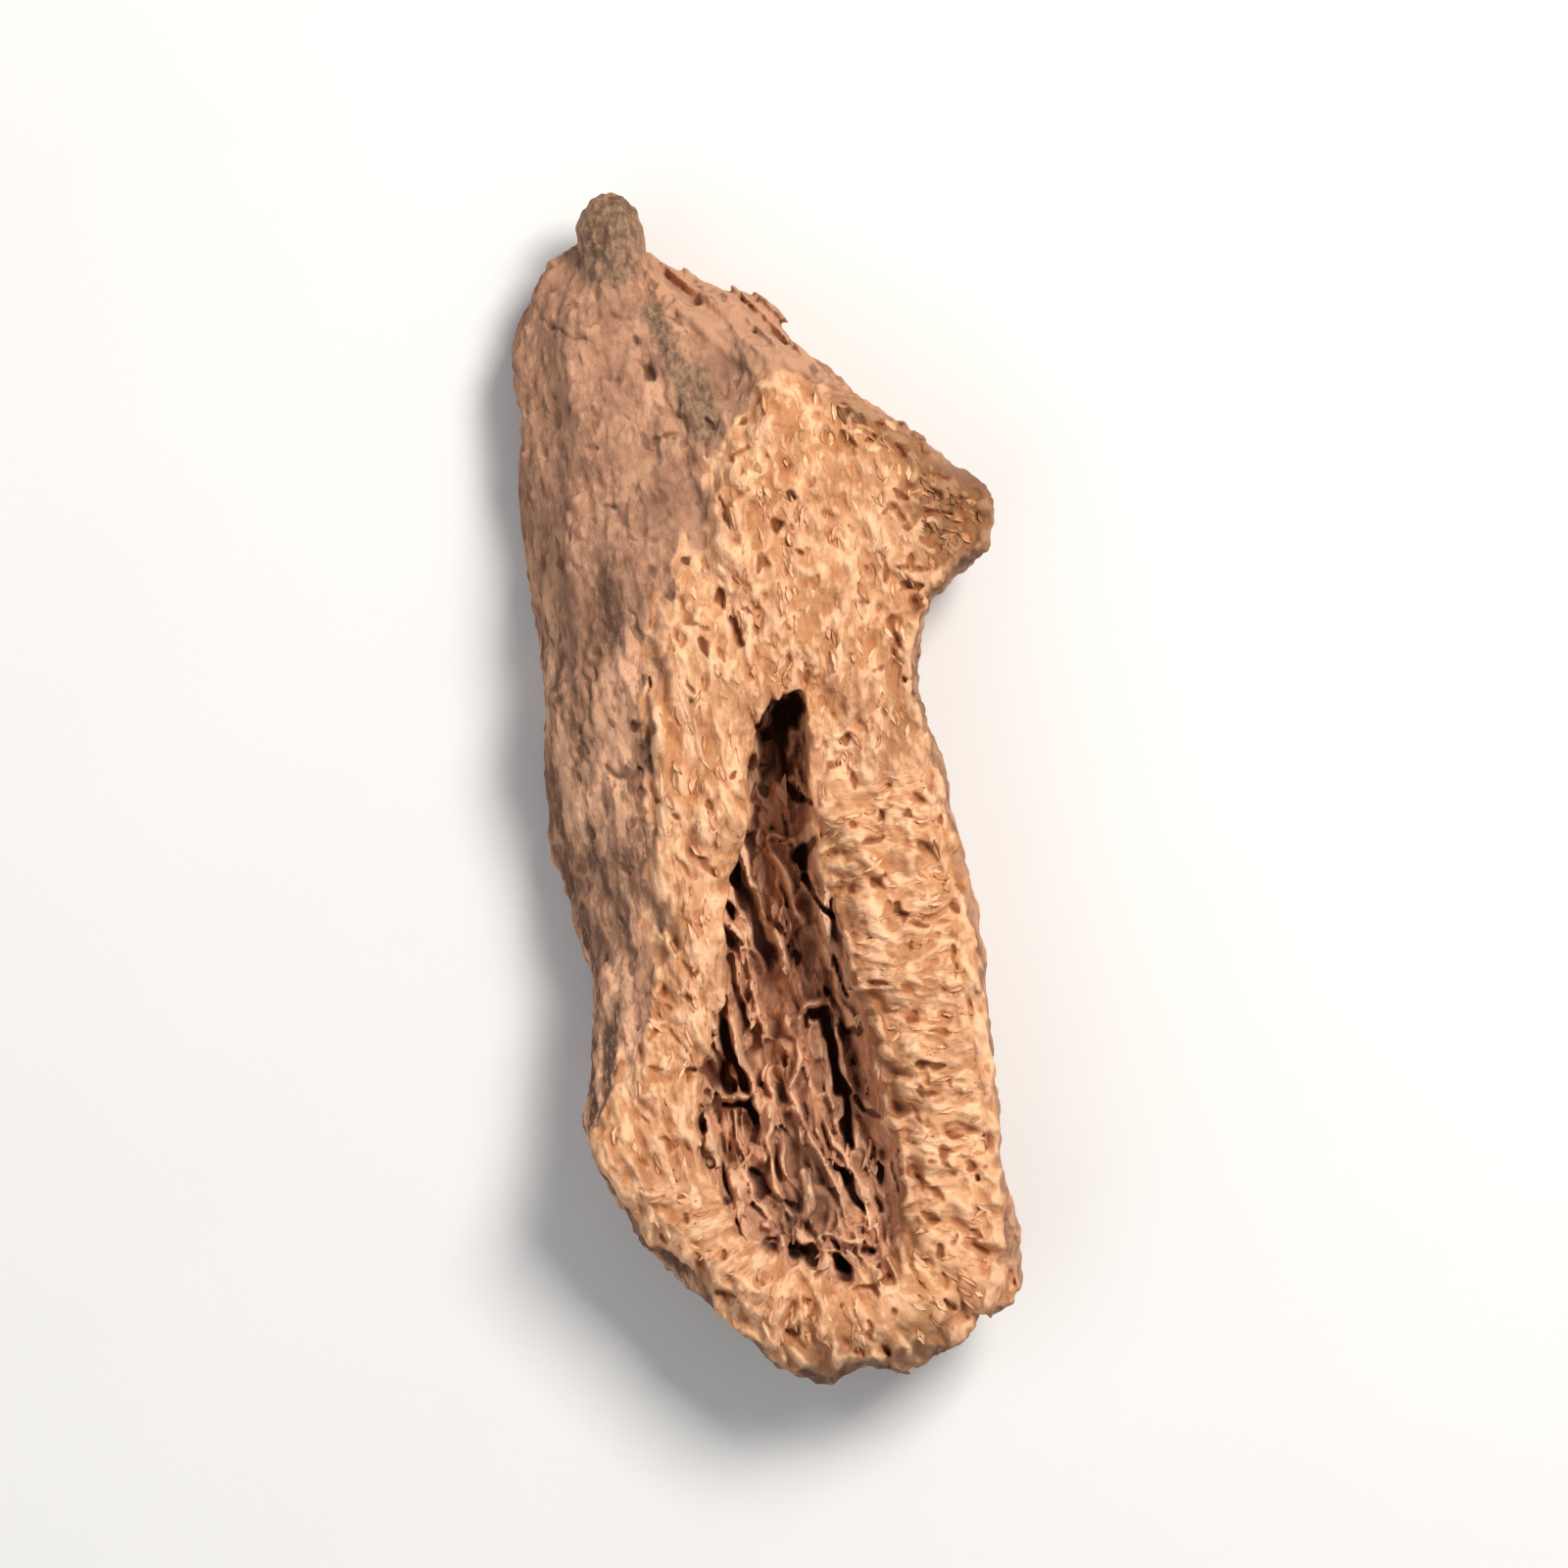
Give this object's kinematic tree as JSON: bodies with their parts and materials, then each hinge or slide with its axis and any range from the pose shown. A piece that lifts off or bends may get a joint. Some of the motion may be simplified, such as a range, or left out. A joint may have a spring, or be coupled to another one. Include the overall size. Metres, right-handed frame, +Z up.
{
  "type": "costus root slice",
  "caption": "Dried root slice, cut slantwise: pale fibrous cut face round a long hollow with dark shredded heart tissue, grey-brown bark on one flank and a small bud at the top end.",
  "frame": {"origin": "middle of the bounding box, at the height of the lower cut face that the slice rests on", "axes": "+Y along the root towards the bud, +X across it towards the frayed lobe, +Z up out of the upper cut face"},
  "size_m": [0.023, 0.0576, 0.0101],
  "materials": {
    "root": "matt, fibrous and porous"
  },
  "bodies": {
    "root": {"root_slice": "root"}
  },
  "joints": []
}
